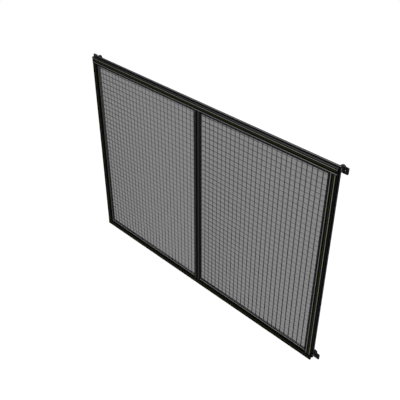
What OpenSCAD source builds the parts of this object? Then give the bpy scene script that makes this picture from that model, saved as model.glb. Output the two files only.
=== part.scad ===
// Machine guard fence panel: slotted profile frame with two bays of welded
// wire mesh over a backing sheet, held to its posts by four corner lugs.
// X runs along the rails, Y points to the back of the panel and Z is up.
// The origin lies on the seat ring round the fixing hole of the bottom left
// lug, midway over the ring and on the side of the rail.

/* [Frame] */
// Length of the top and bottom rails
frame_w = 1470; // [1100:10:2000]
// Height over both rails
frame_h = 1037; // [700:1:1400]
// Side of the square profile
profile_w = 30; // [30:1:36]
// Radius of the long outer edges of the profile
edge_r = 1.8; // [0.6:0.1:2.4]

/* [Profile slots] */
// Width of the slot's mouth
slot_mouth = 8.2; // [7.8:0.1:8.6]
// Width of the slot behind its lips
slot_inner = 16.5; // [15:0.1:17]
// Thickness of the lips beside the mouth
lip_t = 2; // [1.6:0.1:2.4]
// Half width of the solid core between the slots
core_half = 6.2; // [5.6:0.1:6.6]
// Thickness of the diagonal webs
web_t = 2.2; // [1.6:0.1:2.8]
// Diameter of the bore along the core
core_bore = 6.8; // [5:0.1:7.6]
// Wall round the hollow in each corner of the profile
corner_wall = 1.7; // [1.2:0.1:2.2]

/* [Mesh] */
// Wire to wire distance, both ways
mesh_pitch = 25; // [20:1:50]
// Wire thickness
wire_d = 2.5; // [2:0.1:2.8]
// Depth to which crossing wires are welded into each other
weld_depth = 0.3; // [0.2:0.05:0.5]
// Sides of a wire's section
wire_sides = 8; // [4:4:8]
// From the left member of a bay to its first upright wire
mesh_start_x = 4.5; // [2:0.5:12]
// From the bottom rail to the first level wire
mesh_start_z = 4; // [2:0.5:12]
// How far the wires reach into the slots
mesh_reach = 7; // [4:0.5:8]

/* [Backing sheet] */
// Thickness of the sheet behind the mesh
sheet_t = 2; // [1:0.1:2.4]
// How far the sheet reaches into the slots
sheet_reach = 7.5; // [4:0.5:8.4]

/* [Gasket] */
// How far the gasket reaches into the slots
gasket_reach = 6; // [3:0.5:8]
// How far the gasket shows beyond the profile's face
gasket_proud = 0.8; // [0.2:0.1:1.6]

/* [Slot strips] */
// Depth of the strip's face below the profile's face
strip_recess = 0.4; // [0.2:0.1:0.8]
// Thickness of the strip's face
strip_t = 1.2; // [0.8:0.1:1.4]
// Thickness of the strip's two legs
strip_leg = 1; // [0.8:0.1:1.4]
// Gap between the strip and each side of the mouth
strip_gap = 0.1; // [0.05:0.05:0.3]
// How far the barbs catch behind the lips
strip_barb = 0.5; // [0.3:0.1:1]
// Length of the barbs
strip_barb_l = 1.5; // [1:0.1:2.5]

/* [Corner lugs] */
// Thickness of a lug
lug_t = 5; // [4:0.5:8]
// How far a lug's ear reaches past the end of its rail
lug_out = 28; // [26:1:40]
// How far a lug's tongue reaches in along its rail
lug_in = 32; // [26:1:50]
// Height of the tongue behind the rail
tongue_w = 20; // [18:1:26]
// From the rail's end out to the fixing hole
fixing_out = 14; // [13:0.5:16]
// Diameter of the fixing hole
fixing_d = 6.6; // [5:0.2:9]
// Diameter of the seat ring round the fixing hole
seat_d = 18; // [14:1:20]
// Height of the seat ring over the lug's face
seat_t = 1; // [0.5:0.1:2]
// From the rail's end in to the clamp knob
clamp_in = 6; // [6:0.5:10]
// Radius of the lug's corners
lug_r = 4; // [2:0.5:6]
// Gap between the lug's rib and each side of the slot
rib_gap = 0.15; // [0.05:0.05:0.4]
// Height of the rib that stops the lug from turning
rib_t = 1.5; // [0.8:0.1:1.5]

/* [Clamp knobs] */
// Diameter of the knob
knob_d = 24; // [20:1:28]
// Thickness of the knob with its collar
knob_t = 15; // [10:0.5:18]
// Diameter of the collar that presses on the lug
collar_d = 16; // [13:0.5:17]
// Height of the collar
collar_t = 2; // [1:0.5:4]
// Number of finger flutes round the knob
flutes = 10; // [6:1:12]
// Diameter of a flute
flute_d = 4; // [2:0.5:5]
// Chamfer of the knob's edges
knob_chamfer = 1.2; // [0.5:0.1:2]
// Width of the rim round the knob's dished top
knob_rim = 2.5; // [1.5:0.1:3]
// Depth of the dished top
knob_dish = 1.5; // [0.5:0.1:2.5]
// Diameter of the knob's threaded stud
stud_d = 8; // [6:0.5:8]
// Gap round the stud where it passes the lug
stud_gap = 0.5; // [0.2:0.1:1]
// Gap between the stud and the thread of its nut
thread_gap = 0.05; // [0.02:0.01:0.1]
// Length of the slot nut
nut_l = 11; // [10:0.5:12]
// Thickness of the slot nut below the lips
nut_t = 5; // [4:0.25:6]
// Gap between the slot nut and the sides of the slot
nut_gap = 0.4; // [0.2:0.1:0.6]

/* [Hidden] */
$fn = 48;

// Sizes that follow from the profile
half = profile_w / 2;
web_shift = web_t / sqrt(2);
slot_depth = half - core_half;
hollow_w = half - slot_inner / 2 - 2 * corner_wall;

// Places of the frame's members
ring_r = (fixing_d + seat_d) / 4;
left_x = fixing_out - ring_r;
right_x = left_x + frame_w;
middle_x = left_x + frame_w / 2;
bottom_z = -half;
top_z = bottom_z + frame_h;
rail_top_z = top_z - half;
bay_w = (frame_w - 3 * profile_w) / 2;
bay_h = frame_h - 2 * profile_w;
bay_z = half;
bay_top_z = bay_z + bay_h;
left_bay_x = left_x + profile_w;
right_bay_x = middle_x + half;
member_xs = [left_x + half, middle_x, right_x - half];

// Places through the depth of the panel, from the back to the front
back_y = seat_t;
mid_y = back_y - half;
mouth_back_y = mid_y + slot_mouth / 2;
mouth_front_y = mid_y - slot_mouth / 2;
level_wire_y = mouth_back_y - sheet_t - wire_d / 2;
upright_wire_y = level_wire_y - wire_d + weld_depth;
gasket_back_y = upright_wire_y - wire_d / 2;
gasket_t = gasket_back_y - mouth_front_y;

// Counts of the wires in one bay
uprights = floor((bay_w - mesh_start_x) / mesh_pitch) + 1;
levels = floor((bay_h - mesh_start_z) / mesh_pitch) + 1;
bands = 3;
band_levels = ceil(levels / bands);

// Length by which a cutter passes the face that it opens
cut = 1;

alloy_black = [0.10, 0.10, 0.11];
wire_black = [0.22, 0.22, 0.23];
sheet_grey = [0.50, 0.50, 0.50];
strip_olive = [0.20, 0.20, 0.10];
rubber_black = [0.06, 0.06, 0.06];
lug_black = [0.14, 0.14, 0.15];
knob_black = [0.07, 0.07, 0.07];
nut_steel = [0.55, 0.56, 0.58];

// A square with round corners
module round_square(side, r) {
    square([side, side - 2 * r], center = true);
    square([side - 2 * r, side], center = true);
    for (x = [-1, 1], y = [-1, 1])
        translate([x * (side / 2 - r), y * (side / 2 - r)])
            circle(r = r);
}

// One slot of the profile, opening towards +Y
module slot_2d() {
    mouth = slot_mouth / 2;
    inner = slot_inner / 2;
    floor_half = core_half - web_shift;
    polygon([
        [-mouth, half + cut], [-mouth, half - lip_t],
        [-inner, half - lip_t], [-inner, inner + web_shift],
        [-floor_half, core_half], [floor_half, core_half],
        [inner, inner + web_shift], [inner, half - lip_t],
        [mouth, half - lip_t], [mouth, half + cut]
    ]);
}

// Section of the slotted profile
module profile_2d() {
    hollow_at = (half + slot_inner / 2) / 2;
    difference() {
        round_square(profile_w, edge_r);
        for (side = [0:3]) rotate(90 * side) {
            slot_2d();
            translate([hollow_at, hollow_at])
                square(hollow_w, center = true);
        }
        circle(d = core_bore);
    }
}

// Rail along X
module rail(z)
    color(alloy_black)
        translate([left_x, mid_y, z])
            rotate([90, 0, 90])
                linear_extrude(frame_w) profile_2d();

// Stile or mullion along Z, between the rails
module upright(x)
    color(alloy_black)
        translate([x, mid_y, bay_z])
            linear_extrude(bay_h) profile_2d();

// Section of one wire, with flats that face the sheet
module wire_2d()
    rotate(180 / wire_sides)
        circle(r = wire_d / 2 / cos(180 / wire_sides), $fn = wire_sides);

// Height of the lower edge of a band of mesh
function band_edge(band) =
    band == 0 ? -mesh_reach
    : band == bands ? bay_h + mesh_reach
    : mesh_start_z + (band * band_levels - 0.5) * mesh_pitch;

// One band of a bay's mesh
module mesh_band(bay_x, band) {
    low = band_edge(band);
    high = band_edge(band + 1);
    last = min(levels, (band + 1) * band_levels) - 1;
    color(wire_black) union() {
        for (i = [0:uprights - 1])
            translate([bay_x + mesh_start_x + i * mesh_pitch, upright_wire_y, bay_z + low])
                linear_extrude(high - low) wire_2d();
        for (i = [band * band_levels:last])
            translate([bay_x - mesh_reach, level_wire_y, bay_z + mesh_start_z + i * mesh_pitch])
                rotate([90, 0, 90])
                    linear_extrude(bay_w + 2 * mesh_reach) wire_2d();
    }
}

// Sheet behind the mesh, held by the slots on all four sides
module backing_sheet(bay_x)
    color(sheet_grey)
        translate([bay_x - sheet_reach, mouth_back_y - sheet_t, bay_z - sheet_reach])
            cube([bay_w + 2 * sheet_reach, sheet_t, bay_h + 2 * sheet_reach]);

// Frame of rubber between the front lips and the mesh
module gasket(bay_x) {
    reach = gasket_reach;
    proud = gasket_proud;
    color(rubber_black)
        difference() {
            translate([bay_x - reach, mouth_front_y, bay_z - reach])
                cube([bay_w + 2 * reach, gasket_t, bay_h + 2 * reach]);
            translate([bay_x + proud, mouth_front_y - cut, bay_z + proud])
                cube([bay_w - 2 * proud, gasket_t + 2 * cut, bay_h - 2 * proud]);
        }
}

// Section of the strip that closes a front slot, its face towards +Y
module strip_2d() {
    side = slot_mouth / 2 - strip_gap;
    inside = side - strip_leg;
    face = half - strip_recess;
    seat = half - lip_t;
    tip = seat - strip_barb_l;
    polygon([
        [-side, face], [-side, seat], [-side - strip_barb, seat], [-side, tip],
        [-inside, tip], [-inside, face - strip_t],
        [inside, face - strip_t], [inside, tip],
        [side, tip], [side + strip_barb, seat], [side, seat], [side, face]
    ]);
}

module level_strip(z)
    color(strip_olive)
        translate([left_x, mid_y, z])
            rotate([90, 0, 90])
                linear_extrude(frame_w) rotate(90) strip_2d();

module upright_strip(x)
    color(strip_olive)
        translate([x, mid_y, bay_z])
            linear_extrude(bay_h) rotate(180) strip_2d();

// Puts a piece at the end of a rail, +X outwards and Y = 0 on the frame's
// back; side is -1 on the left
module at_corner(x, z, side)
    translate([x, back_y, z])
        mirror([side < 0 ? 1 : 0, 0, 0])
            children();

// Plate of width w from start to end along X, with round corners
module round_plate(start, end, w) {
    translate([start, -w / 2 + lug_r])
        square([end - start, w - 2 * lug_r]);
    translate([start + lug_r, -w / 2])
        square([end - start - 2 * lug_r, w]);
    for (x = [start + lug_r, end - lug_r], z = [-1, 1])
        translate([x, z * (w / 2 - lug_r)])
            circle(r = lug_r);
}

// Outline of a lug, seen from the back, with +X outwards
module lug_2d() {
    round_plate(0, lug_out, profile_w);
    round_plate(-lug_in, lug_out, tongue_w);
}

// Plate that joins the end of a rail to its post
module lug(x, z, side) {
    rib_start = clamp_in + nut_l / 2 + cut;
    rib_w = slot_mouth - 2 * rib_gap;
    color(lug_black) at_corner(x, z, side) difference() {
        union() {
            translate([0, lug_t, 0]) rotate([90, 0, 0])
                linear_extrude(lug_t) lug_2d();
            translate([fixing_out, lug_t, 0]) rotate([90, 0, 0])
                cylinder(d = seat_d, h = lug_t + seat_t);
            translate([-lug_in, -rib_t, -rib_w / 2])
                cube([lug_in - rib_start, rib_t + lug_t, rib_w]);
        }
        translate([-clamp_in, lug_t + cut, 0]) rotate([90, 0, 0])
            cylinder(d = stud_d + 2 * stud_gap, h = lug_t + 2 * cut);
        translate([fixing_out, lug_t + cut, 0]) rotate([90, 0, 0])
            cylinder(d = fixing_d, h = lug_t + seat_t + 2 * cut);
    }
}

// Half section of the knob, its collar at the bottom
module knob_2d() {
    c = knob_chamfer;
    r = knob_d / 2;
    rim_r = r - c - knob_rim;
    floor_t = knob_t - knob_dish;
    polygon([
        [0, 0], [collar_d / 2, 0], [collar_d / 2, collar_t],
        [r - c, collar_t], [r, collar_t + c], [r, knob_t - c],
        [r - c, knob_t], [rim_r, knob_t],
        [rim_r - knob_dish, floor_t], [0, floor_t]
    ]);
}

// Fluted knob with a stud that screws into the slot nut
module knob(x, z, side) {
    stud_l = lug_t + lip_t + nut_t;
    color(knob_black) at_corner(x, z, side)
        translate([-clamp_in, lug_t, 0]) rotate([-90, 0, 0]) {
            difference() {
                rotate_extrude() knob_2d();
                for (i = [0:flutes - 1])
                    rotate(i * 360 / flutes)
                        translate([knob_d / 2 + flute_d / 4, 0, collar_t - cut])
                            cylinder(d = flute_d, h = knob_t + 2 * cut);
            }
            translate([0, 0, -stud_l]) cylinder(d = stud_d, h = stud_l + cut);
        }
}

// Nut in the rail's rear slot, its section drawn with the slot's floor at +X
module slot_nut(x, z, side) {
    neck = slot_mouth / 2 - nut_gap;
    body = slot_inner / 2 - nut_gap;
    knee = half - body - web_shift - nut_gap;
    foot = lip_t + nut_t;
    foot_half = half - foot - web_shift - nut_gap;
    color(nut_steel) at_corner(x, z, side) difference() {
        translate([-clamp_in - nut_l / 2, 0, 0])
            rotate([90, 0, 90])
                linear_extrude(nut_l) mirror([1, 0]) polygon([
                    [nut_gap, -neck], [nut_gap, neck],
                    [lip_t, neck], [lip_t, body],
                    [knee, body], [foot, foot_half],
                    [foot, -foot_half], [knee, -body],
                    [lip_t, -body], [lip_t, -neck]
                ]);
        translate([-clamp_in, cut, 0]) rotate([90, 0, 0])
            cylinder(d = stud_d + 2 * thread_gap, h = half);
    }
}

rail(rail_top_z);  // top_rail
rail(0);  // bottom_rail
upright(member_xs[0]);  // left_stile
upright(member_xs[2]);  // right_stile
upright(member_xs[1]);  // centre_mullion
mesh_band(left_bay_x, 0);  // left_mesh_lower
mesh_band(left_bay_x, 1);  // left_mesh_middle
mesh_band(left_bay_x, 2);  // left_mesh_upper
mesh_band(right_bay_x, 0);  // right_mesh_lower
mesh_band(right_bay_x, 1);  // right_mesh_middle
mesh_band(right_bay_x, 2);  // right_mesh_upper
backing_sheet(left_bay_x);  // left_backing_sheet
backing_sheet(right_bay_x);  // right_backing_sheet
gasket(left_bay_x);  // left_gasket
gasket(right_bay_x);  // right_gasket
level_strip(rail_top_z);  // top_slot_strip
level_strip(0);  // bottom_slot_strip
upright_strip(member_xs[0]);  // left_slot_strip
upright_strip(member_xs[2]);  // right_slot_strip
upright_strip(member_xs[1]);  // mullion_slot_strip
lug(left_x, 0, -1);  // bottom_left_lug
lug(right_x, 0, 1);  // bottom_right_lug
lug(left_x, rail_top_z, -1);  // top_left_lug
lug(right_x, rail_top_z, 1);  // top_right_lug
knob(left_x, 0, -1);  // bottom_left_knob
knob(right_x, 0, 1);  // bottom_right_knob
knob(left_x, rail_top_z, -1);  // top_left_knob
knob(right_x, rail_top_z, 1);  // top_right_knob
slot_nut(left_x, 0, -1);  // bottom_left_nut
slot_nut(right_x, 0, 1);  // bottom_right_nut
slot_nut(left_x, rail_top_z, -1);  // top_left_nut
slot_nut(right_x, rail_top_z, 1);  // top_right_nut
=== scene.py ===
"""Dresses a packed machine guard panel: round welded wires, finishes and a studio."""

import math
import typing

import bpy
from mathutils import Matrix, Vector


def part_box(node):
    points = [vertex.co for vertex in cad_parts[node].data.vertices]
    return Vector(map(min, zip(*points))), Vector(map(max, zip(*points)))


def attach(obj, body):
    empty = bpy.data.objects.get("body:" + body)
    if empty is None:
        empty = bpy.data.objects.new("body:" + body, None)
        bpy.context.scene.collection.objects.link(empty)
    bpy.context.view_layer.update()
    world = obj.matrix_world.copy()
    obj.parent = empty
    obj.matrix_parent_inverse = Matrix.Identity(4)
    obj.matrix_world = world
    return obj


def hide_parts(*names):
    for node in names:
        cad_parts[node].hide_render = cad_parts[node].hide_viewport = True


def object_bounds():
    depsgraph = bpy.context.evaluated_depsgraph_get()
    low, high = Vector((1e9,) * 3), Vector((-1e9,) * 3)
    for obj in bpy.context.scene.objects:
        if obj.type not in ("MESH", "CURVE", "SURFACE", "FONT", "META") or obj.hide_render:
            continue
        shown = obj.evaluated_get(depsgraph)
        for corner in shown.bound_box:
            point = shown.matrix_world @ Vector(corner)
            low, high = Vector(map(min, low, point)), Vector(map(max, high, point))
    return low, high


bl_info = {
    "name": "Guard Panel Dressing",
    "version": (1, 0, 0),
    "blender": (4, 5, 0),
    "location": "View3D > Sidebar > Guard Panel",
    "description": "Wire mesh, finishes and a studio for a packed machine guard panel",
    "category": "Object",
}

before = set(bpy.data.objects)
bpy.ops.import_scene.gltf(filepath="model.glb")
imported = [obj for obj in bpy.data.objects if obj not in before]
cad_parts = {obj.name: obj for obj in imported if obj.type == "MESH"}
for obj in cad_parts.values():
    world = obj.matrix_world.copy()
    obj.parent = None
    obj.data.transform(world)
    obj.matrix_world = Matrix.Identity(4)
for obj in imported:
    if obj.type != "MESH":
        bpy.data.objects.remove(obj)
CAD_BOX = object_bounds()

RAILS = ("top_rail", "bottom_rail")
UPRIGHTS = ("left_stile", "centre_mullion", "right_stile")
LEVEL_STRIPS = ("top_slot_strip", "bottom_slot_strip")
UPRIGHT_STRIPS = ("left_slot_strip", "mullion_slot_strip", "right_slot_strip")
BAYS = {"left": ("left_stile", "centre_mullion"), "right": ("centre_mullion", "right_stile")}
BANDS = ("lower", "middle", "upper")
CORNERS = ("bottom_left", "bottom_right", "top_left", "top_right")


def centre(node):
    """The middle of a node's box."""
    low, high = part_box(node)
    return (low + high) / 2


def extent(node):
    """The size of a node's box."""
    low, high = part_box(node)
    return high - low


PROFILE = extent("bottom_rail").z


class PaintedLipHighlights(typing.NamedTuple):
    """Painted highlights along the lips of a bar: strengths, shifts in metres and growth."""

    face: float = 0.0  # strength on the front and rear faces
    front_lip: float = 0.0  # strength on the front lips of the sides
    rear_lip: float = 0.0  # strength on the rear lips of the sides
    slide: float = 0.0  # shift of the lines on the faces, to the right or up
    back: float = 0.0  # shift of the lines on the sides, towards the rear
    rise: float = 0.0  # share gained at the right or upper end, twice as much on the sides


# Painted highlights, with strengths, shifts and growth set bar by bar to how light falls on each
LIP_HIGHLIGHTS = {
    "top_rail": PaintedLipHighlights(face=1.05, front_lip=0.25, rear_lip=1.1, slide=-0.0012, back=-0.003, rise=0.3),
    "bottom_rail": PaintedLipHighlights(front_lip=2.0, rear_lip=0.9, back=0.0042, rise=0.22),
    "left_stile": PaintedLipHighlights(front_lip=0.5, rear_lip=0.1, back=0.0042),
    "centre_mullion": PaintedLipHighlights(face=0.42, front_lip=0.1, rear_lip=0.05, slide=0.0025, rise=0.1),
    "right_stile": PaintedLipHighlights(face=1.0, rear_lip=0.25, slide=-0.0018, back=-0.003, rise=0.06),
}

# How much wider the painted shade border is along the sides of each sheet, and how far the grey
# field inside it sits above the sheet's middle; the border is black, painted where the frame's shade
# falls
SHADE_BORDER_GAIN = {"left_backing_sheet": 0.0022, "right_backing_sheet": -0.0016}
SHADE_BORDER_RISE = 0.0017

# Half the width over which one side of a bar, one coat or the painted shade border passes into the next
SIDE_FADE = 0.0005
COAT_FADE = 0.0002
SHADE_BORDER_FADE = 0.0003

# A lip's painted highlight starts at the first depth under a bar's outer face and is whole at the second
HIGHLIGHT_DEPTHS = (0.0005, 0.0002)

# Shares of the highlight's width over which the painted highlight fades out to either side of its middle
HIGHLIGHT_FADE = (0.25, 0.75)

# Shares of the slot's mouth over which painted shade darkens a strip to either side of its middle
STRIP_SLOT_SHADE = (0.12, 0.26)

# The form of a weld before it is scaled
NUGGET = {"Segments": 8, "Rings": 5, "Radius": 1.0}


# ---------------------------------------------------------------------------
# Node trees


class Value:
    """A node's output. Arithmetic on it adds Math nodes to its tree."""

    def __init__(self, graph, socket):
        self.graph = graph
        self.socket = socket

    def output(self, name):
        """Another output of the same node."""
        return Value(self.graph, self.socket.node.outputs[name])

    def _math(self, operation, *values):
        """The result of a Math node."""
        return self.graph.node("ShaderNodeMath", {"operation": operation}, dict(enumerate(values)))

    def __add__(self, other):
        return self._math("ADD", self, other)

    def __sub__(self, other):
        return self._math("SUBTRACT", self, other)

    def __rsub__(self, other):
        return self._math("SUBTRACT", other, self)

    def __mul__(self, other):
        return self._math("MULTIPLY", self, other)

    def __abs__(self):
        return self._math("ABSOLUTE", self)

    __radd__ = __add__
    __rmul__ = __mul__

    def least(self, other):
        """The lower of two values."""
        return self._math("MINIMUM", self, other)

    def most(self, other):
        """The higher of two values."""
        return self._math("MAXIMUM", self, other)


class Graph:
    """Adds nodes to a tree."""

    # Sockets of a Mix node that carry colours
    COLOUR_A, COLOUR_B, COLOUR_OUT = 6, 7, 2

    def __init__(self, tree):
        self.tree = tree

    def node(self, kind, settings=None, sockets=None, output=0):
        """An output of a new node, made from its type, its settings, and its sockets' values or links."""
        made = self.tree.nodes.new(kind)
        for name, setting in (settings or {}).items():
            setattr(made, name, setting)
        for key, value in (sockets or {}).items():
            if isinstance(value, Value):
                self.tree.links.new(value.socket, made.inputs[key])
            else:
                made.inputs[key].default_value = value
        return Value(self, made.outputs[output]) if made.outputs else made

    def step(self, value, low, high):
        """A smooth rise from 0 at low to 1 at high."""
        return self.node(
            "ShaderNodeMapRange",
            {"interpolation_type": "SMOOTHSTEP"},
            {"Value": value, "From Min": low, "From Max": high},
        )

    def mix(self, factor, first, second):
        """A colour between two colours."""
        return self.node(
            "ShaderNodeMix",
            {"data_type": "RGBA"},
            {0: factor, self.COLOUR_A: first, self.COLOUR_B: second},
            self.COLOUR_OUT,
        )


def emptied(data):
    """The node tree of a new material or world, without its nodes."""
    data.use_nodes = True
    data.node_tree.nodes.clear()
    return data.node_tree


class Finish(Graph):
    """A procedural material on Object coordinates, in metres."""

    def __init__(self, name, metallic=0.0, specular=0.5):
        self.material = bpy.data.materials.new(name)
        super().__init__(emptied(self.material))
        self.place = self.node("ShaderNodeTexCoord", output="Object")
        self.axes = self.node("ShaderNodeSeparateXYZ", sockets={0: self.place})
        self.constants = {"Metallic": metallic, "Specular IOR Level": specular}

    def noise(self, scale, stretch=(1, 1, 1), detail=2.0, rough=0.5):
        """Noise from 0 to 1, with features of about 1 / scale metres, drawn out along an axis."""
        place = self.node("ShaderNodeMapping", sockets={"Vector": self.place, "Scale": stretch})
        return self.node(
            "ShaderNodeTexNoise",
            sockets={"Vector": place, "Scale": scale, "Detail": detail, "Roughness": rough},
        )

    def sign(self, value):
        """-1 below 0 and 1 above, with a short rise between them."""
        return self.step(value, -SIDE_FADE, SIDE_FADE) * 2 - 1

    def varied(self, tone, colour, spread):
        """A colour that the tone makes darker or lighter by a share of itself."""
        return self.mix(tone, shaded(colour, 1 - spread), shaded(colour, 1 + spread))

    def bump(self, height, distance, strength=1.0, under=None):
        """Normals of a relief whose height runs from 0 to 1 over a distance in metres."""
        sockets = {"Height": height, "Distance": distance, "Strength": strength}
        if under is not None:
            sockets["Normal"] = under
        return self.node("ShaderNodeBump", sockets=sockets)

    def done(self, **varying):
        """Joins what varies over the surface to the shader and returns the material."""
        sockets = dict(self.constants)
        for name, value in varying.items():
            sockets[name.replace("_", " ")] = value
        shader = self.node("ShaderNodeBsdfPrincipled", sockets=sockets)
        self.node("ShaderNodeOutputMaterial", sockets={"Surface": shader})
        return self.material


def shaded(colour, factor=1.0):
    """A colour times a factor, with the alpha that a socket asks for."""
    return (colour[0] * factor, colour[1] * factor, colour[2] * factor, 1.0)


def grey(level):
    """A grey for a colour socket."""
    return shaded((level, level, level))


# ---------------------------------------------------------------------------
# Finishes


def drawn_along(axis, fine=0.012):
    """Stretch that draws noise out along the axis of an extrusion."""
    return tuple(fine if name == axis else 1.0 for name in "XYZ")


def anodised(name, axis, bar, look):
    """Black anodised extrusion along X or Z: die lines, a mottled film and a painted highlight along each
    lip.
    """
    finish = Finish(name, specular=look.alloy_gloss)
    streak = finish.noise(scale=1500, stretch=drawn_along(axis), detail=3)
    drift = finish.noise(scale=9, detail=3)
    grain = finish.noise(scale=5200, detail=1)

    # Places in the section from its middle: to the rear, and up or to the right
    middle = centre(bar)
    side = "Z" if axis == "X" else "X"
    depth = finish.axes.output("Y") - middle.y
    across = finish.axes.output(side) - getattr(middle, side.lower())
    along = finish.axes.output(axis) - getattr(middle, axis.lower())
    lines = LIP_HIGHLIGHTS[bar]
    on_side = finish.step(abs(across) - abs(depth), -SIDE_FADE, SIDE_FADE)
    beyond = finish.sign(across)
    behind = finish.sign(depth)

    # A painted highlight runs along the middle of each lip, apart from its shifts
    lip_middle = (PROFILE + look.slot_mouth) / 4
    shift = lines.slide * beyond * (1 - on_side) + lines.back * behind * on_side
    off_line = abs(abs(across).least(abs(depth)) - shift - lip_middle)
    line = 1 - finish.step(off_line, *(look.line_width * share for share in HIGHLIGHT_FADE))
    outer = finish.step(abs(across).most(abs(depth)), *(PROFILE / 2 - under for under in HIGHLIGHT_DEPTHS))
    on_lips = lines.front_lip + (behind + 1) * ((lines.rear_lip - lines.front_lip) / 2)
    strength = lines.face + on_side * (on_lips - lines.face)
    growth = 1 + along * (1 + on_side) * (lines.rise * 2 / max(extent(bar)))

    tone = streak * 0.55 + drift * 0.45
    film = finish.varied(tone, look.alloy, spread=0.3)
    # Painted highlight: a lighter film along each lip
    painted_highlight = finish.varied(tone, look.alloy_highlight, spread=0.14)
    relief = finish.bump(streak, distance=0.00002, strength=0.5)
    return finish.done(
        Base_Color=finish.mix(line * outer * strength * growth, film, painted_highlight),
        Roughness=0.36 + streak * 0.16 + drift * 0.06,
        Normal=finish.bump(grain, distance=0.000006, strength=0.4, under=relief),
    )


def powder_coat(name, colour, rear_colour=None, rear_from=0.0, peel=900.0, gloss=0.08):
    """Sprayed black coat: orange peel, fine specks and a slow change of tone.

    With a rear colour, the coat changes to it behind a plane across the depth; on the wire mesh this is a
    lighter copy of the coat, painted light on the level wires.
    """
    finish = Finish(name, specular=gloss)
    skin = finish.noise(scale=peel, detail=2)
    specks = finish.noise(scale=peel * 5, detail=1)
    drift = finish.noise(scale=14, detail=2)
    tone = drift * 0.6 + specks * 0.4
    coat = finish.varied(tone, colour, spread=0.2)
    if rear_colour:
        rear = finish.varied(tone, rear_colour, spread=0.15)
        behind = finish.step(finish.axes.output("Y"), rear_from - COAT_FADE, rear_from + COAT_FADE)
        coat = finish.mix(behind, coat, rear)
    relief = finish.bump(skin, distance=0.00006, strength=0.6)
    return finish.done(
        Base_Color=coat,
        Roughness=0.46 + skin * 0.16,
        Normal=finish.bump(specks, distance=0.00001, strength=0.5, under=relief),
    )


def matt_sheet(name, sheet, look):
    """Matt grey plastic sheet: cloudy tone, rolling lines, a pebbled skin, and painted shade as a black
    border along its edges.
    """
    finish = Finish(name, specular=0.03)
    clouds = finish.noise(scale=3.2, detail=4, rough=0.6)
    lines = finish.noise(scale=420, stretch=drawn_along("Z", fine=0.004), detail=2)
    pebbles = finish.noise(scale=2600, detail=1)
    middle = centre(sheet)
    half = extent(sheet) / 2
    # Painted shade: a black border round the sheet, wider or narrower per sheet and raised, where the
    # frame's shade falls
    from_side = half.x - abs(finish.axes.output("X") - middle.x) - SHADE_BORDER_GAIN[sheet]
    from_end = half.z - abs(finish.axes.output("Z") - middle.z - SHADE_BORDER_RISE)
    field = finish.step(from_side.least(from_end), look.shade_border - SHADE_BORDER_FADE, look.shade_border + SHADE_BORDER_FADE)
    tone = clouds * 0.5 + lines * 0.3 + pebbles * 0.2
    surface = finish.varied(tone, look.sheet, spread=0.07)
    relief = finish.bump(pebbles, distance=0.00002, strength=0.6)
    return finish.done(
        # The painted shade border takes the gaskets' black
        Base_Color=finish.mix(field, shaded(look.gasket), surface),
        Roughness=0.5 + pebbles * 0.12,
        Normal=finish.bump(lines, distance=0.00001, strength=0.5, under=relief),
    )


def rubber(name, look):
    """Dark cord rubber with a dull bloom."""
    finish = Finish(name, specular=0.02)
    bloom = finish.noise(scale=60, detail=4, rough=0.65)
    grain = finish.noise(scale=2400, detail=2)
    return finish.done(
        Base_Color=finish.varied(bloom, look.gasket, spread=0.25),
        Roughness=0.66 + bloom * 0.16,
        Normal=finish.bump(grain, distance=0.00003, strength=0.6),
    )


def strip_plastic(name, axis, strip, base, look):
    """Extruded plastic: fine lines along the strip, a slow change of tone and painted shade at its edges
    in the slot.
    """
    finish = Finish(name, specular=0.01)
    lines = finish.noise(scale=2600, stretch=drawn_along(axis, fine=0.006), detail=2)
    drift = finish.noise(scale=7, detail=3)
    side = "Z" if axis == "X" else "X"
    across = abs(finish.axes.output(side) - getattr(centre(strip), side.lower()))
    # Painted shade: the strip darkens towards the slot's walls
    slot_shade = finish.step(across, *(look.slot_mouth * share for share in STRIP_SLOT_SHADE))
    surface = finish.varied(lines * 0.5 + drift * 0.5, base, spread=0.2)
    return finish.done(
        Base_Color=finish.mix(slot_shade, surface, shaded(base, 0.15)),
        Roughness=0.44 + lines * 0.18,
        Normal=finish.bump(lines, distance=0.00001, strength=0.6),
    )


def moulded(name, look):
    """Black moulded plastic with a spark-eroded grain."""
    finish = Finish(name, specular=0.05)
    grain = finish.noise(scale=2100, detail=3, rough=0.6)
    drift = finish.noise(scale=90, detail=2)
    return finish.done(
        Base_Color=finish.mix(drift, shaded(look.knob, 0.8), shaded(look.knob, 1.3)),
        Roughness=0.42 + grain * 0.2,
        Normal=finish.bump(grain, distance=0.00005, strength=0.7),
    )


def zinc(name, look):
    """Bright zinc plate with a faint bluish cloud and fine grain."""
    finish = Finish(name, metallic=0.92)
    cloud = finish.noise(scale=220, detail=3)
    grain = finish.noise(scale=4200, detail=2)
    return finish.done(
        Base_Color=finish.mix(cloud, shaded(look.zinc), shaded(look.zinc_cloud)),
        Roughness=0.26 + grain * 0.16,
        Normal=finish.bump(grain, distance=0.00001, strength=0.5),
    )


def dress(material, *nodes):
    """Gives CAD nodes a material."""
    for node in nodes:
        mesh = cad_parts[node].data
        mesh.materials.clear()
        mesh.materials.append(material)


# ---------------------------------------------------------------------------
# Geometry trees


def new_object(name, data):
    """A new object in the scene."""
    made = bpy.data.objects.new(name, data)
    bpy.context.scene.collection.objects.link(made)
    return made


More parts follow.
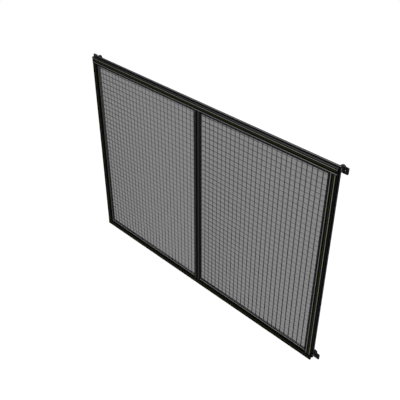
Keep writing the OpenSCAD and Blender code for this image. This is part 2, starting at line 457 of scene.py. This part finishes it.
def new_tree(name, inputs):
    """A geometry tree with named inputs: its graph, and a function from an input's name to its value."""
    tree = bpy.data.node_groups.new(name, "GeometryNodeTree")
    for label, kind in inputs.items():
        tree.interface.new_socket(label, in_out="INPUT", socket_type="NodeSocket" + kind)
    tree.interface.new_socket("Geometry", in_out="OUTPUT", socket_type="NodeSocketGeometry")
    graph = Graph(tree)
    return graph, graph.node("NodeGroupInput").output


def close_tree(graph, pieces, material):
    """Joins the pieces, makes their instances real, sets their material and ends the tree."""
    join = graph.tree.nodes.new("GeometryNodeJoinGeometry")
    for piece in pieces:
        graph.tree.links.new(piece.socket, join.inputs[0])
    real = graph.node("GeometryNodeRealizeInstances", sockets={0: Value(graph, join.outputs[0])})
    done = graph.node("GeometryNodeSetMaterial", sockets={"Geometry": real, "Material": material})
    graph.node("NodeGroupOutput", sockets={0: done})


def grow(name, tree, values):
    """What a geometry tree makes, as a plain mesh object."""
    piece = new_object(name, bpy.data.meshes.new(name))
    modifier = piece.modifiers.new(tree.name, "NODES")
    modifier.node_group = tree
    for item in tree.interface.items_tree:
        if item.in_out == "INPUT":
            modifier[item.identifier] = values[item.name]
    evaluated = piece.evaluated_get(bpy.context.evaluated_depsgraph_get())
    mesh = bpy.data.meshes.new_from_object(evaluated)
    piece.modifiers.clear()
    piece.data = mesh
    return piece


def vector(graph, x=0.0, y=0.0, z=0.0):
    """A vector of three values."""
    return graph.node("ShaderNodeCombineXYZ", sockets={0: x, 1: y, 2: z})


def wire_row(graph, given, count, start, offset, length, turn):
    """A row of like wires, an offset from one to the next."""
    line = graph.node(
        "GeometryNodeMeshLine",
        {"mode": "OFFSET", "count_mode": "TOTAL"},
        {"Count": count, "Start Location": start, "Offset": offset},
    )
    wire = graph.node(
        "GeometryNodeMeshCylinder",
        {"fill_type": "NGON"},
        {"Vertices": given("Wire Sides"), "Radius": given("Wire Diameter") * 0.5, "Depth": length},
    )
    smooth = graph.node(
        "GeometryNodeSetShadeSmooth",
        sockets={"Geometry": wire, "Selection": wire.output("Side")},
    )
    return graph.node(
        "GeometryNodeInstanceOnPoints",
        sockets={"Points": line, "Instance": smooth, "Rotation": turn},
    )


def wire_mesh_tree():
    """Rows of upright and level wires, with a weld at each crossing."""
    graph, given = new_tree(
        "Welded Wire Mesh",
        {
            "Uprights": "Int",
            "Levels": "Int",
            "Pitch": "Float",
            "Wire Diameter": "Float",
            "Wire Sides": "Int",
            "Upright Length": "Float",
            "Level Length": "Float",
            "First Crossing": "Vector",
            "Upright Middle": "Float",
            "Level Middle": "Float",
            "Upright Depth": "Float",
            "Level Depth": "Float",
            "Weld Size": "Vector",
            "Weld Spread": "Float",
            "Seed": "Int",
            "Material": "Material",
        },
    )
    first = graph.node("ShaderNodeSeparateXYZ", sockets={0: given("First Crossing")})
    pitch = given("Pitch")
    quarter = math.pi / 2

    uprights = wire_row(
        graph,
        given,
        given("Uprights"),
        vector(graph, first.output("X"), given("Upright Depth"), given("Upright Middle")),
        vector(graph, x=pitch),
        given("Upright Length"),
        (0.0, 0.0, 0.0),
    )
    levels = wire_row(
        graph,
        given,
        given("Levels"),
        vector(graph, given("Level Middle"), given("Level Depth"), first.output("Z")),
        vector(graph, z=pitch),
        given("Level Length"),
        (0.0, quarter, 0.0),
    )

    width = (given("Uprights") - 1) * pitch
    height = (given("Levels") - 1) * pitch
    grid = graph.node(
        "GeometryNodeMeshGrid",
        sockets={
            "Size X": width,
            "Size Y": height,
            "Vertices X": given("Uprights"),
            "Vertices Y": given("Levels"),
        },
    )
    middle = vector(
        graph,
        first.output("X") + width * 0.5,
        first.output("Y"),
        first.output("Z") + height * 0.5,
    )
    crossings = graph.node(
        "GeometryNodeTransform",
        sockets={"Geometry": grid, "Translation": middle, "Rotation": (quarter, 0.0, 0.0)},
    )
    nugget = graph.node("GeometryNodeMeshUVSphere", sockets=NUGGET)
    soft_nugget = graph.node("GeometryNodeSetShadeSmooth", sockets={"Geometry": nugget})
    spread = graph.node(
        "FunctionNodeRandomValue",
        {"data_type": "FLOAT"},
        {2: 1 - given("Weld Spread"), 3: 1 + given("Weld Spread"), "Seed": given("Seed")},
        1,
    )
    size = graph.node(
        "ShaderNodeVectorMath",
        {"operation": "SCALE"},
        {0: given("Weld Size"), "Scale": spread},
    )
    welds = graph.node(
        "GeometryNodeInstanceOnPoints",
        sockets={"Points": crossings, "Instance": soft_nugget, "Scale": size},
    )
    close_tree(graph, (uprights, levels, welds), given("Material"))
    return graph.tree


# ---------------------------------------------------------------------------
# Settings


class PanelMeshSettings(bpy.types.PropertyGroup):
    """Sizes of the welded wire mesh."""

    pitch: bpy.props.FloatProperty(
        name="Pitch", description="Distance from wire to wire", default=0.025, unit="LENGTH"
    )
    wire_diameter: bpy.props.FloatProperty(
        name="Wire Diameter", description="Thickness of the wires", default=0.0025, unit="LENGTH"
    )
    wire_sides: bpy.props.IntProperty(
        name="Wire Sides", description="Sides round each wire", default=16, min=8
    )
    first_across: bpy.props.FloatProperty(
        name="First Upright",
        description="From the left member of a bay to its first upright wire",
        default=0.0045,
        unit="LENGTH",
    )
    first_up: bpy.props.FloatProperty(
        name="First Level",
        description="From the bottom rail to the first level wire",
        default=0.004,
        unit="LENGTH",
    )
    weld_radius: bpy.props.FloatProperty(
        name="Weld Radius", description="Reach of a weld over the wires", default=0.0021, unit="LENGTH"
    )
    weld_depth: bpy.props.FloatProperty(
        name="Weld Depth", description="Half depth of a weld", default=0.0008, unit="LENGTH"
    )
    weld_spread: bpy.props.FloatProperty(
        name="Weld Spread", description="Random part of a weld's size", default=0.12, subtype="FACTOR"
    )


class PanelLookSettings(bpy.types.PropertyGroup):
    """Colours and finish of the panel."""

    alloy: bpy.props.FloatVectorProperty(
        name="Alloy", description="Anodised film", default=(0.0015, 0.0015, 0.0016), subtype="COLOR"
    )
    # Painted highlight: the colour along each lip
    alloy_highlight: bpy.props.FloatVectorProperty(
        name="Alloy Line",
        description="Line along each lip",
        default=(0.15, 0.15, 0.153),
        subtype="COLOR",
    )
    alloy_gloss: bpy.props.FloatProperty(
        name="Alloy Gloss", description="Strength of the film's gloss", default=0.004, subtype="FACTOR"
    )
    slot_mouth: bpy.props.FloatProperty(
        name="Slot Mouth", description="Width of the profile's slots", default=0.0082, unit="LENGTH"
    )
    # Width of the painted highlight along each lip
    line_width: bpy.props.FloatProperty(
        name="Line Width", description="Width of the line along each lip", default=0.0026, unit="LENGTH"
    )
    wire: bpy.props.FloatVectorProperty(
        name="Wire",
        description="Coat of the upright wires",
        default=(0.040, 0.040, 0.041),
        subtype="COLOR",
    )
    # Painted light: the level wires get a lighter copy of the wire coat
    level_wire_painted_light: bpy.props.FloatVectorProperty(
        name="Level Wire",
        description="Coat of the level wires",
        default=(0.10, 0.10, 0.101),
        subtype="COLOR",
    )
    # Also the black of the painted shade border round the sheets
    gasket: bpy.props.FloatVectorProperty(
        name="Gasket",
        description="Gaskets round the mesh and edging of the sheets",
        default=(0.004, 0.004, 0.004),
        subtype="COLOR",
    )
    sheet: bpy.props.FloatVectorProperty(
        name="Sheet", description="Backing sheet", default=(0.222, 0.222, 0.222), subtype="COLOR"
    )
    # Width of the painted shade border round the sheets
    shade_border: bpy.props.FloatProperty(
        name="Edging",
        description="Width of the black edging round the sheets, before each sheet's own gain",
        default=0.0137,
        unit="LENGTH",
    )
    strip: bpy.props.FloatVectorProperty(
        name="Strip", description="Slot strips", default=(0.018, 0.017, 0.003), subtype="COLOR"
    )
    # Painted shade: a darker copy of the strip colour for the mullion's strip
    mullion_strip_painted_shade: bpy.props.FloatVectorProperty(
        name="Mullion Strip",
        description="Slot strip of the mullion",
        default=(0.002, 0.002, 0.001),
        subtype="COLOR",
    )
    lug: bpy.props.FloatVectorProperty(
        name="Lug",
        description="Coat of the corner lugs",
        default=(0.006, 0.006, 0.0062),
        subtype="COLOR",
    )
    knob: bpy.props.FloatVectorProperty(
        name="Knob", description="Clamp knobs", default=(0.006, 0.006, 0.006), subtype="COLOR"
    )
    zinc: bpy.props.FloatVectorProperty(
        name="Zinc", description="Plate of the slot nuts", default=(0.5, 0.5, 0.5), subtype="COLOR"
    )
    zinc_cloud: bpy.props.FloatVectorProperty(
        name="Zinc Cloud",
        description="Bluish cloud on the plate",
        default=(0.589, 0.6138, 0.6572),
        subtype="COLOR",
    )


class PanelStudioSettings(bpy.types.PropertyGroup):
    """Floor, light and camera."""

    key_light: bpy.props.FloatProperty(
        name="Key Light", description="Strength of the distant key light", default=6.12
    )
    key_spread: bpy.props.FloatProperty(
        name="Key Spread",
        description="Width of the key light as an angle",
        default=0.03,
        subtype="ANGLE",
    )
    front_light: bpy.props.FloatProperty(
        name="Front Light", description="Power of the front softbox", default=4.0, unit="POWER"
    )
    top_light: bpy.props.FloatProperty(
        name="Top Light", description="Power of the overhead softbox", default=40.0, unit="POWER"
    )
    rear_light: bpy.props.FloatProperty(
        name="Rear Light",
        description="Power of the softbox behind the panel",
        default=700.0,
        unit="POWER",
    )
    ambient: bpy.props.FloatProperty(
        name="Ambient", description="Level of the even light", default=0.02, subtype="FACTOR"
    )
    shadow: bpy.props.FloatProperty(
        name="Floor Shadow",
        description="How much of the floor's shade shows",
        default=0.12,
        subtype="FACTOR",
    )
    shadow_reach: bpy.props.FloatProperty(
        name="Shadow Reach",
        description="From the panel's middle to where the shade fades",
        default=1.2,
        unit="LENGTH",
    )
    lens: bpy.props.FloatProperty(
        name="Lens",
        description="Focal length on a 36 mm sensor",
        default=57.46,
        subtype="DISTANCE_CAMERA",
    )
    azimuth: bpy.props.FloatProperty(
        name="Azimuth",
        description="Camera's turn to the right",
        default=math.radians(45),
        subtype="ANGLE",
    )
    elevation: bpy.props.FloatProperty(
        name="Elevation",
        description="Camera's height over the horizon",
        default=math.atan(math.sqrt(0.5)),
        subtype="ANGLE",
    )
    distance: bpy.props.FloatProperty(
        name="Distance", description="Camera to its aim", default=3.022, unit="LENGTH"
    )
    aim: bpy.props.FloatVectorProperty(
        name="Aim",
        description="Aim's offset from the front's middle",
        default=(0.0248, -0.0003, 0.0250),
        unit="LENGTH",
    )


# ---------------------------------------------------------------------------
# Operators


class GUARDPANEL_OT_wire_mesh(bpy.types.Operator):
    """Makes the round wires and welds of both bays"""

    bl_idname = "guard_panel.wire_mesh"
    bl_label = "Wire Mesh"

    def execute(self, context):
        sizes = context.scene.guard_panel_mesh
        look = context.scene.guard_panel_look
        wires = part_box("left_mesh_lower")
        touch = (wires[0].y + wires[1].y) / 2
        # Painted light: the level wires behind this plane take a lighter copy of the coat
        coat = powder_coat("mesh_wire_coat", look.wire, look.level_wire_painted_light, touch)
        tree = wire_mesh_tree()
        for seed, bay in enumerate(BAYS):
            bands = [f"{bay}_mesh_{band}" for band in BANDS]
            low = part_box(bands[0])[0]
            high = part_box(bands[-1])[1]
            left, right = BAYS[bay]
            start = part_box(left)[1].x + sizes.first_across
            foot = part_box("bottom_rail")[1].z + sizes.first_up
            radius = sizes.wire_diameter / 2
            upright_y = low.y + radius
            level_y = high.y - radius
            piece = grow(
                f"{bay}_mesh",
                tree,
                {
                    "Uprights": int((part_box(right)[0].x - start) / sizes.pitch) + 1,
                    "Levels": int((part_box("top_rail")[0].z - foot) / sizes.pitch) + 1,
                    "Pitch": sizes.pitch,
                    "Wire Diameter": sizes.wire_diameter,
                    "Wire Sides": sizes.wire_sides,
                    "Upright Length": high.z - low.z,
                    "Level Length": high.x - low.x,
                    "First Crossing": (start, (upright_y + level_y) / 2, foot),
                    "Upright Middle": (low.z + high.z) / 2,
                    "Level Middle": (low.x + high.x) / 2,
                    "Upright Depth": upright_y,
                    "Level Depth": level_y,
                    "Weld Size": (sizes.weld_radius, sizes.weld_depth, sizes.weld_radius),
                    "Weld Spread": sizes.weld_spread,
                    "Seed": seed,
                    "Material": coat,
                },
            )
            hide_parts(*bands)
            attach(piece, "root")
        return {"FINISHED"}


class GUARDPANEL_OT_frame_finish(bpy.types.Operator):
    """Gives the rails, stiles and mullion their anodised finish"""

    bl_idname = "guard_panel.frame_finish"
    bl_label = "Frame Finish"

    def execute(self, context):
        look = context.scene.guard_panel_look
        for bar in RAILS + UPRIGHTS:
            dress(anodised(f"{bar}_anodised", "X" if bar in RAILS else "Z", bar, look), bar)
        return {"FINISHED"}


class GUARDPANEL_OT_infill_finish(bpy.types.Operator):
    """Gives the sheets, gaskets and slot strips their finish"""

    bl_idname = "guard_panel.infill_finish"
    bl_label = "Infill Finish"

    def execute(self, context):
        look = context.scene.guard_panel_look
        for bay in BAYS:
            sheet = f"{bay}_backing_sheet"
            dress(matt_sheet(f"{sheet}_plastic", sheet, look), sheet)
        dress(rubber("gasket_rubber", look), *(f"{bay}_gasket" for bay in BAYS))
        for strip in LEVEL_STRIPS + UPRIGHT_STRIPS:
            axis = "X" if strip in LEVEL_STRIPS else "Z"
            # Painted shade: the mullion's strip takes a darker copy of the strip colour
            base = look.mullion_strip_painted_shade if strip == "mullion_slot_strip" else look.strip
            dress(strip_plastic(f"{strip}_plastic", axis, strip, base, look), strip)
        return {"FINISHED"}


class GUARDPANEL_OT_fixing_finish(bpy.types.Operator):
    """Gives the lugs, knobs and slot nuts their finish"""

    bl_idname = "guard_panel.fixing_finish"
    bl_label = "Fixing Finish"

    def execute(self, context):
        look = context.scene.guard_panel_look
        coat = powder_coat("lug_coat", look.lug, peel=700.0, gloss=0.02)
        dress(coat, *(f"{corner}_lug" for corner in CORNERS))
        dress(moulded("knob_plastic", look), *(f"{corner}_knob" for corner in CORNERS))
        dress(zinc("nut_zinc", look), *(f"{corner}_nut" for corner in CORNERS))
        return {"FINISHED"}


class GUARDPANEL_OT_studio(bpy.types.Operator):
    """Makes the floor, the lights and the camera"""

    bl_idname = "guard_panel.studio"
    bl_label = "Studio"

    FLOOR_SIDE = 60.0
    FLOOR_DROP = 0.0005
    LAMP_DISTANCE = 8.0
    SOFTBOX_SIDE = 5.0

    # Directions from the panel's middle to the lamps
    KEY_FROM = (0.61, -0.51, 0.62)
    FRONT_FROM = (-0.12, -0.95, 0.30)
    TOP_FROM = (0.0, 0.05, 1.0)
    REAR_FROM = (-0.3, 0.9, 0.4)

    # The floor's tone in the light it throws back, and where it is seen
    FLOOR_BOUNCE = 0.08
    FLOOR_TONE = 0.95

    # The floor's shade is gone at this many times its reach
    SHADE_END = 2.5

    def execute(self, context):
        settings = context.scene.guard_panel_studio
        low, high = CAD_BOX
        middle = (low + high) / 2
        self.floor(settings, Vector((middle.x, middle.y, low.z - self.FLOOR_DROP)))
        self.world(context.scene, settings)
        key = self.lamp("key_light", "SUN", middle, self.KEY_FROM, settings.key_light)
        key.angle = settings.key_spread
        for name, direction, power in (
            ("front_softbox", self.FRONT_FROM, settings.front_light),
            ("top_softbox", self.TOP_FROM, settings.top_light),
            ("rear_softbox", self.REAR_FROM, settings.rear_light),
        ):
            self.lamp(name, "AREA", middle, direction, power).size = self.SOFTBOX_SIDE
        self.camera(context.scene, settings)
        context.scene.view_settings.view_transform = "Standard"
        return {"FINISHED"}

    def seen(self, graph):
        """1 for rays from the camera and for those seen in gloss or through glass."""
        path = graph.node("ShaderNodeLightPath", output="Is Camera Ray")
        return path.most(path.output("Is Glossy Ray")).most(path.output("Is Transmission Ray"))

    def floor(self, settings, place):
        """White paper that keeps the shade near the panel."""
        side = self.FLOOR_SIDE / 2
        corners = [(x * side, y * side, 0) for x, y in ((-1, -1), (1, -1), (1, 1), (-1, 1))]
        mesh = bpy.data.meshes.new("floor")
        mesh.from_pydata(corners, [], [(0, 1, 2, 3)])
        floor = new_object("floor", mesh)
        floor.location = place
        material = bpy.data.materials.new("floor_paper")
        graph = Graph(emptied(material))
        seen = self.seen(graph)
        tone = graph.mix(seen, grey(self.FLOOR_BOUNCE), grey(self.FLOOR_TONE))
        paper = graph.node("ShaderNodeBsdfDiffuse", sockets={"Color": tone})
        white = graph.node("ShaderNodeEmission", sockets={"Color": grey(1.0), "Strength": 1.0})
        spot = graph.node("ShaderNodeTexCoord", output="Object")
        reach = graph.node("ShaderNodeVectorMath", {"operation": "LENGTH"}, {0: spot}, "Value")
        near = 1 - graph.step(reach, settings.shadow_reach, settings.shadow_reach * self.SHADE_END)
        factor = seen * (1 - near * settings.shadow)
        mixed = graph.node("ShaderNodeMixShader", sockets={0: factor, 1: paper, 2: white})
        graph.node("ShaderNodeOutputMaterial", sockets={"Surface": mixed})
        mesh.materials.append(material)

    def world(self, scene, settings):
        """White where it is seen, and a low even light."""
        world = bpy.data.worlds.new("studio")
        graph = Graph(emptied(world))
        strength = settings.ambient + self.seen(graph) * (1 - settings.ambient)
        light = graph.node("ShaderNodeBackground", sockets={"Color": grey(1.0), "Strength": strength})
        graph.node("ShaderNodeOutputWorld", sockets={"Surface": light})
        scene.world = world

    def lamp(self, name, kind, middle, direction, power):
        """A lamp that looks at the panel's middle."""
        data = bpy.data.lights.new(name, kind)
        data.energy = power
        lamp = new_object(name, data)
        direction = Vector(direction).normalized()
        lamp.location = middle + direction * self.LAMP_DISTANCE
        lamp.rotation_euler = direction.to_track_quat("Z", "Y").to_euler()
        return data

    def camera(self, scene, settings):
        """The scene's camera, level across."""
        data = bpy.data.cameras.new("camera")
        data.lens = settings.lens
        camera = new_object("camera", data)
        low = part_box("bottom_rail")[0]
        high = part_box("top_rail")[1]
        front = Vector(((low.x + high.x) / 2, low.y, (low.z + high.z) / 2))
        level = math.cos(settings.elevation)
        back = Vector((
            math.sin(settings.azimuth) * level,
            -math.cos(settings.azimuth) * level,
            math.sin(settings.elevation),
        ))
        camera.location = front + Vector(settings.aim) + back * settings.distance
        camera.rotation_euler = (math.pi / 2 - settings.elevation, 0.0, settings.azimuth)
        scene.camera = camera


class GUARDPANEL_PT_sidebar(bpy.types.Panel):
    """Settings and steps of the guard panel's dressing"""

    bl_label = "Guard Panel"
    bl_space_type = "VIEW_3D"
    bl_region_type = "UI"
    bl_category = "Guard Panel"

    def draw(self, context):
        for name, settings in SETTINGS.items():
            box = self.layout.box()
            for setting in settings.__annotations__:
                box.prop(getattr(context.scene, name), setting)
        for operator in OPERATORS:
            self.layout.operator(operator.bl_idname)


SETTINGS = {
    "guard_panel_mesh": PanelMeshSettings,
    "guard_panel_look": PanelLookSettings,
    "guard_panel_studio": PanelStudioSettings,
}
OPERATORS = (
    GUARDPANEL_OT_wire_mesh,
    GUARDPANEL_OT_frame_finish,
    GUARDPANEL_OT_infill_finish,
    GUARDPANEL_OT_fixing_finish,
    GUARDPANEL_OT_studio,
)
CLASSES = (*SETTINGS.values(), *OPERATORS, GUARDPANEL_PT_sidebar)


def register():
    for cls in CLASSES:
        bpy.utils.register_class(cls)
    for name, settings in SETTINGS.items():
        setattr(bpy.types.Scene, name, bpy.props.PointerProperty(type=settings))


def unregister():
    for name in SETTINGS:
        delattr(bpy.types.Scene, name)
    for cls in reversed(CLASSES):
        bpy.utils.unregister_class(cls)


def main():
    register()
    for operator in OPERATORS:
        group, name = operator.bl_idname.split(".")
        if getattr(getattr(bpy.ops, group), name)() != {"FINISHED"}:
            raise RuntimeError(f"{operator.bl_label} didn't finish")


if __name__ == "__main__":
    main()
